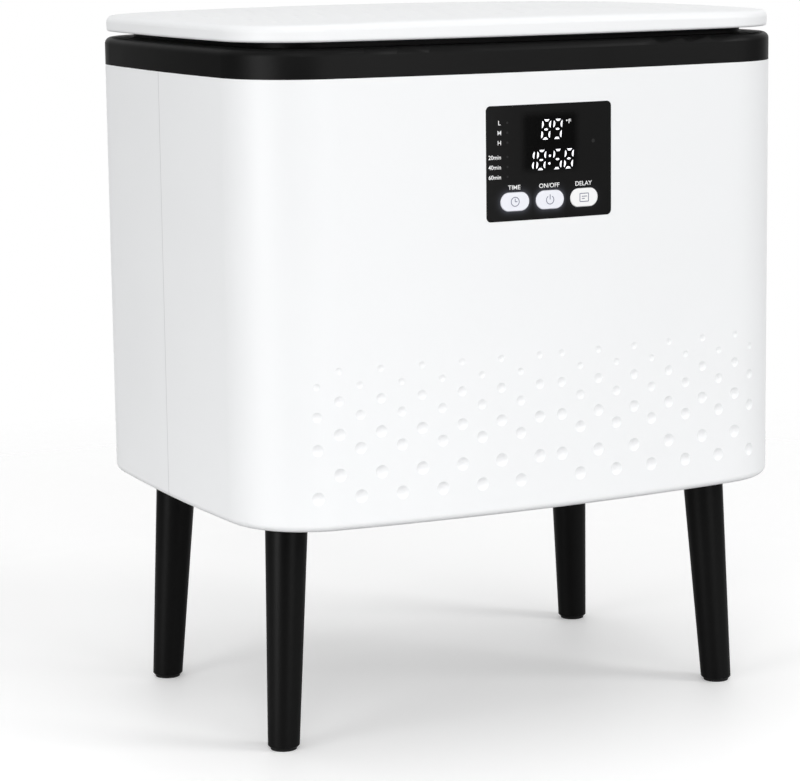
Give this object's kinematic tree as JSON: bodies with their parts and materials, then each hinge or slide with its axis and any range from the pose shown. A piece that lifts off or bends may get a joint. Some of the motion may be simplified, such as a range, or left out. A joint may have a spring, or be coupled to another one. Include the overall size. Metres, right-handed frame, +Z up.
{
  "type": "towel warmer bucket",
  "caption": "Free-standing electric towel warmer: bowed white housing on four splayed black legs, hinged lid with a finger gap, black rim, key panel with display, aluminium tub inside.",
  "frame": {"origin": "on the floor under the middle of the body", "axes": "+Z up, +X to the right seen from the front, front with the control panel faces -Y"},
  "size_m": [0.45, 0.352, 0.5228],
  "materials": {
    "shell_white": "satin moulded ABS",
    "rim_black": "smooth moulded ABS",
    "liner_white": "matt moulded",
    "gasket_black": "matt silicone",
    "tub_aluminium": "satin",
    "heater_orange": "silicone heating film",
    "insulation_felt": "needled felt",
    "base_black": "fine moulded grain",
    "leg_black": "satin moulded",
    "glide_rubber": "matt",
    "mount_metal": "powder coated",
    "steel": "zinc plated",
    "hinge_black": "blackened steel",
    "fascia_black": "polished",
    "key_white": "translucent moulded",
    "display_dark": "polished",
    "circuit_green": "solder mask",
    "component_black": "moulded",
    "terminal_green": "moulded",
    "wire_sleeve": "sleeved"
  },
  "bodies": {
    "housing": {"front_shell": "shell_white", "rear_shell": "shell_white", "rim_ring": "rim_black", "neck_gasket": "gasket_black", "inner_tub": "tub_aluminium", "heater_film": "heater_orange", "insulation_wrap": "insulation_felt", "floor_pad": "insulation_felt", "base_plate": "base_black", "inlet_plate": "base_black", "cord_gland": "base_black", "gland_nut": "base_black", "panel_housing": "base_black", "leg_front_left": "leg_black", "leg_front_right": "leg_black", "leg_rear_left": "leg_black", "leg_rear_right": "leg_black", "foot_glides": "glide_rubber", "leg_mounts": "mount_metal", "seam_straps": "mount_metal", "leg_studs": "steel", "mount_screws": "steel", "base_screws": "steel", "rim_screws": "steel", "panel_screws": "steel", "board_screws": "steel", "power_board_screws": "steel", "rim_leaf_screws": "steel", "hinge_pins": "steel", "rim_hinge_leaves": "hinge_black", "panel_fascia": "fascia_black", "display_module": "display_dark", "control_board": "circuit_green", "power_board": "circuit_green", "tact_switches": "component_black", "relay": "component_black", "line_filter": "component_black", "thermal_cutout": "component_black", "temperature_sensor": "component_black", "terminal_block": "terminal_green", "control_harness": "wire_sleeve", "heater_lead": "wire_sleeve"},
    "lid": {"lid_cover": "shell_white", "lid_liner": "liner_white", "lid_pan": "liner_white", "lid_foam": "insulation_felt", "lid_screws": "steel", "lid_hinge_leaves": "hinge_black", "lid_leaf_screws": "steel"},
    "time_key": {"time_key": "key_white"},
    "power_key": {"power_key": "key_white"},
    "delay_key": {"delay_key": "key_white"}
  },
  "joints": [
    {"name": "lid_hinge", "type": "hinge", "parent": "housing", "child": "lid", "pos_m": [0, 0.1725, 0.506], "axis": [-1, 0, 0], "range_deg": [0, 100]},
    {"name": "time_key_press", "type": "slide", "parent": "housing", "child": "time_key", "axis": [0, 1, 0], "range_m": [0, 0.0008], "stiffness_N_per_m": 1500, "springref_m": -0.0005},
    {"name": "power_key_press", "type": "slide", "parent": "housing", "child": "power_key", "axis": [0, 1, 0], "range_m": [0, 0.0008], "stiffness_N_per_m": 1500, "springref_m": -0.0005},
    {"name": "delay_key_press", "type": "slide", "parent": "housing", "child": "delay_key", "axis": [0, 1, 0], "range_m": [0, 0.0008], "stiffness_N_per_m": 1500, "springref_m": -0.0005}
  ]
}
